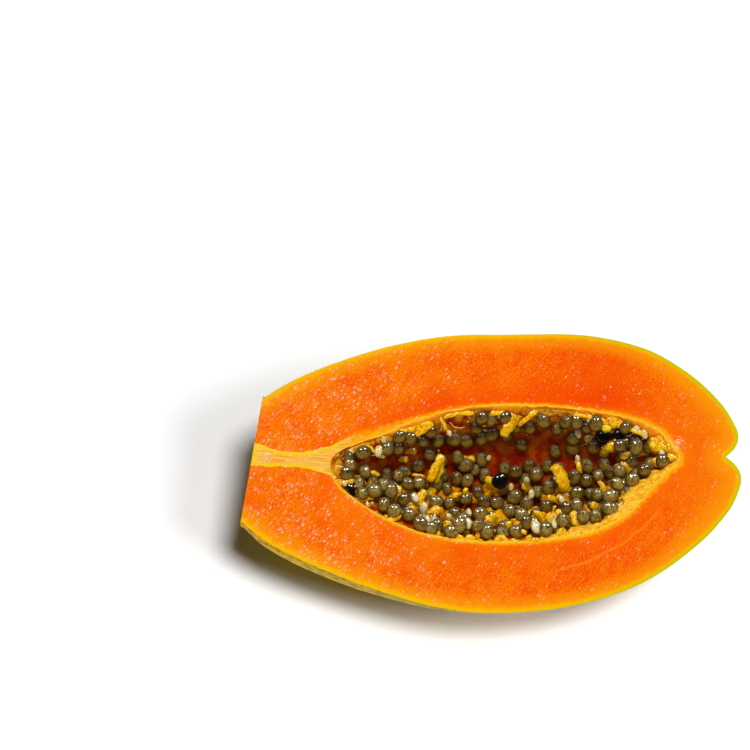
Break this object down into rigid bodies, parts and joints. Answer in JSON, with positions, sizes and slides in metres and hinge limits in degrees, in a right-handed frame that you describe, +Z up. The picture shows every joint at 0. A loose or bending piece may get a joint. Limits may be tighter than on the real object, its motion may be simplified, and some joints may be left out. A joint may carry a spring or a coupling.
{
  "type": "halved papaya",
  "caption": "Ripe papaya half, cut lengthwise: orange flesh in a mottled green-yellow skin round a hollow lined with dark gel-coated seeds, lying on its skin.",
  "frame": {"origin": "middle of the small flat spot of the skin that the half lies on", "axes": "+X along the fruit from the stem end to the blossom end; +Z up; the cut face looks up and leans 14 degrees towards -Y"},
  "size_m": [0.2096, 0.1177, 0.0685],
  "materials": {
    "fruit": "moist orange flesh with a pale yellow core, in a smooth waxy skin mottled green and yellow with dark specks",
    "seeds": "olive-grey seeds in wet clear gel over amber pulp"
  },
  "bodies": {
    "root": {"fruit_half": "fruit", "seeds": "seeds"}
  },
  "joints": []
}
